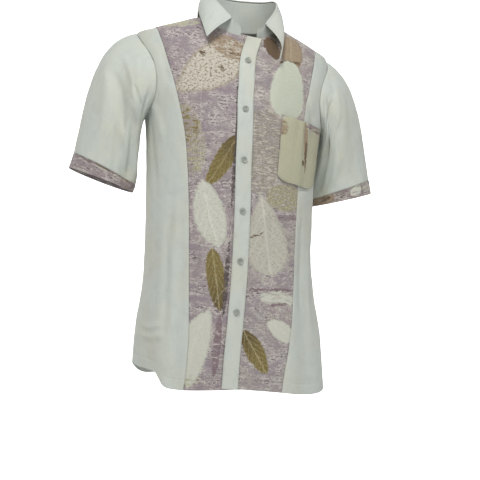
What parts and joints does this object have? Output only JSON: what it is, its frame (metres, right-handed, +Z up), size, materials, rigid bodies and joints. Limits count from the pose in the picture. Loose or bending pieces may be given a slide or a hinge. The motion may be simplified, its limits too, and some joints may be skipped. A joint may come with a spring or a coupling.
{
  "type": "short-sleeve shirt",
  "caption": "Short-sleeve button-front shirt with folded collar, chest pocket, sleeve bands and leaf-print front panels, hollow in its worn form",
  "frame": {"origin": "middle of the neck, level with the points where the shoulder seams meet the collar", "axes": "+Z up, -Y is the front, -X is the wearer's right, metres"},
  "size_m": [0.5975, 0.2707, 0.7546],
  "materials": {
    "plain_cloth": "light grey-beige slub linen-like weave, matt",
    "leaf_print_cloth": "dusty mauve cloth with crackle and leaf contact prints, matt",
    "button_plastic": "grey-green four-hole buttons, satin"
  },
  "bodies": {
    "root": {"back": "plain_cloth", "collar_fall": "plain_cloth", "collar_stand": "plain_cloth", "placket": "plain_cloth", "front_right_side": "plain_cloth", "front_left_side": "plain_cloth", "sleeve_right": "plain_cloth", "sleeve_left": "plain_cloth", "front_right_panel": "leaf_print_cloth", "front_left_panel": "leaf_print_cloth", "cuff_right": "leaf_print_cloth", "cuff_left": "leaf_print_cloth", "pocket": "leaf_print_cloth", "button_1": "button_plastic", "button_2": "button_plastic", "button_3": "button_plastic", "button_4": "button_plastic", "button_5": "button_plastic", "button_6": "button_plastic"}
  },
  "joints": []
}
